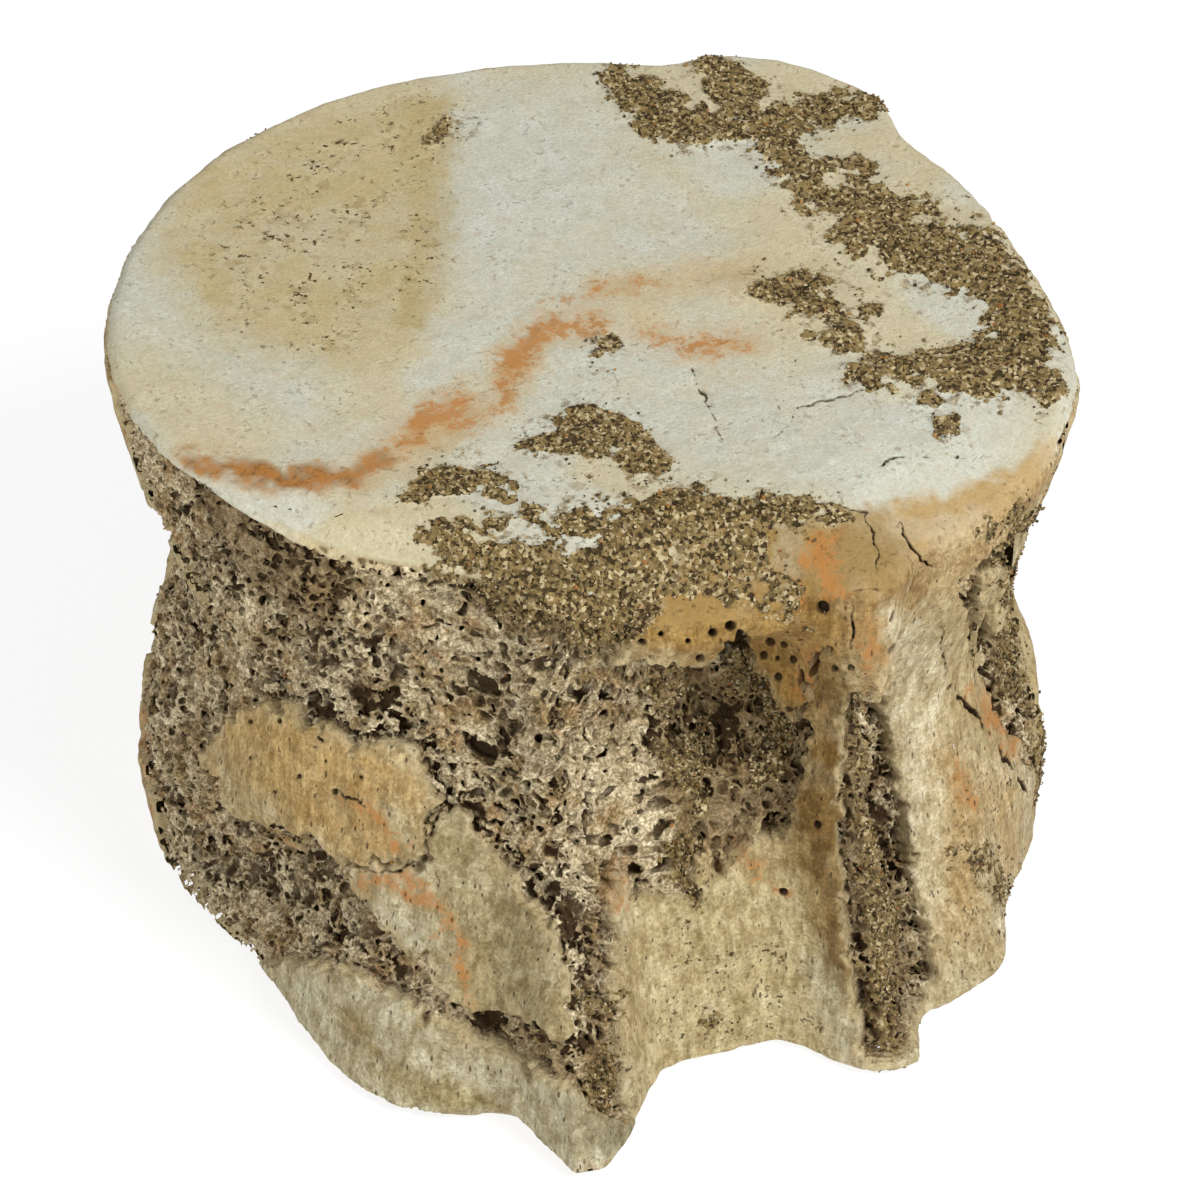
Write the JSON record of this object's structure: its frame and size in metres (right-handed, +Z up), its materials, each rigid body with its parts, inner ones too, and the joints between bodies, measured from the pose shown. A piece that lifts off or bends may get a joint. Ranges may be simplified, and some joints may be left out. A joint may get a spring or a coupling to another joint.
{
  "type": "fossil mosasaur vertebra",
  "caption": "Fossil mosasaur vertebra lying on one articular end: a worn, spool-shaped centrum with a flat upper face, broken pedicels beside the neural canal and open spongy bone.",
  "frame": {"origin": "middle of the bone's box, on the plane that it stands on", "axes": "+Z up along the centrum, -Y the dorsal side with the neural canal, +X the side on the right in the picture"},
  "size_m": [0.1088, 0.1175, 0.0726],
  "materials": {
    "end_face": "smooth matt bone, ochre and pale, with iron stains and crusts of sand",
    "spongy_bone": "broken open pores, dull, with sand in them",
    "cortical_bone": "fine grained cream and tan bone, matt"
  },
  "bodies": {
    "root": {"upper_articular_end": "end_face", "lower_articular_end": "cortical_bone", "centrum": "spongy_bone", "left_pedicel": "cortical_bone", "right_pedicel": "cortical_bone", "left_transverse_process": "spongy_bone", "right_transverse_process": "cortical_bone"}
  },
  "joints": []
}
